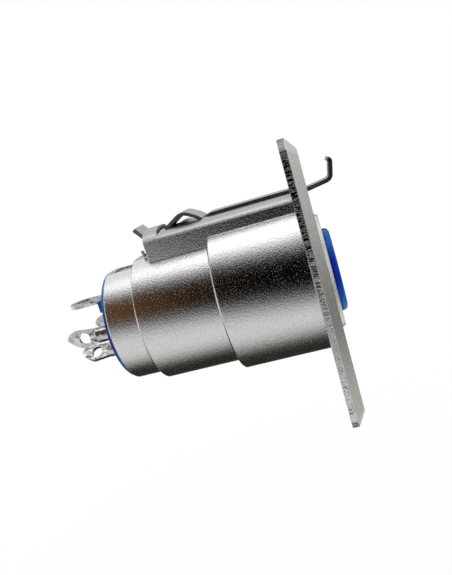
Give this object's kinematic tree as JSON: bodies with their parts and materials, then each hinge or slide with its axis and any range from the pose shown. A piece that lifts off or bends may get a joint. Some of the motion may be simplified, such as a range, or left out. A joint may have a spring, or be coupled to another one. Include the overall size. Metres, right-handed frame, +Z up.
{
  "type": "panel socket connector",
  "caption": "Round three-pole panel socket with a rectangular bevelled flange, stepped metal barrel, blue inserts, solder eyelets and a sprung latch with a finger tab.",
  "frame": {"origin": "on the connector's axis in the plane of the flange's back face, midway between the two screw holes", "axes": "+Y along the connector's axis from the mating side to the solder side, +Z up to the latch, +X to the right as seen from the mating side"},
  "size_m": [0.0292, 0.055, 0.0484],
  "materials": {
    "nickel_casting": "grainy satin nickel plate over zinc casting",
    "blue_plastic": "smooth moulded",
    "silver_plate": "bright plated",
    "sheet_steel": "satin nickel plate",
    "spring_steel": "satin nickel plate"
  },
  "bodies": {
    "body": {"shell": "nickel_casting", "socket_insert": "blue_plastic", "contact_carrier": "blue_plastic", "contact_1": "silver_plate", "contact_2": "silver_plate", "contact_3": "silver_plate", "ground_lug": "silver_plate", "latch_cover": "sheet_steel", "latch_pin": "sheet_steel", "latch_spring": "spring_steel"},
    "latch": {"latch_lever": "spring_steel", "latch_pawl": "spring_steel"}
  },
  "joints": [
    {"name": "latch_hinge", "type": "hinge", "parent": "body", "child": "latch", "pos_m": [0, 0.0254, 0.01245], "axis": [-1, 0, 0], "range_deg": [0, 4.5], "stiffness_Nm_per_rad": 0.8, "springref_deg": -1.72, "deforming": ["latch_spring"]}
  ]
}
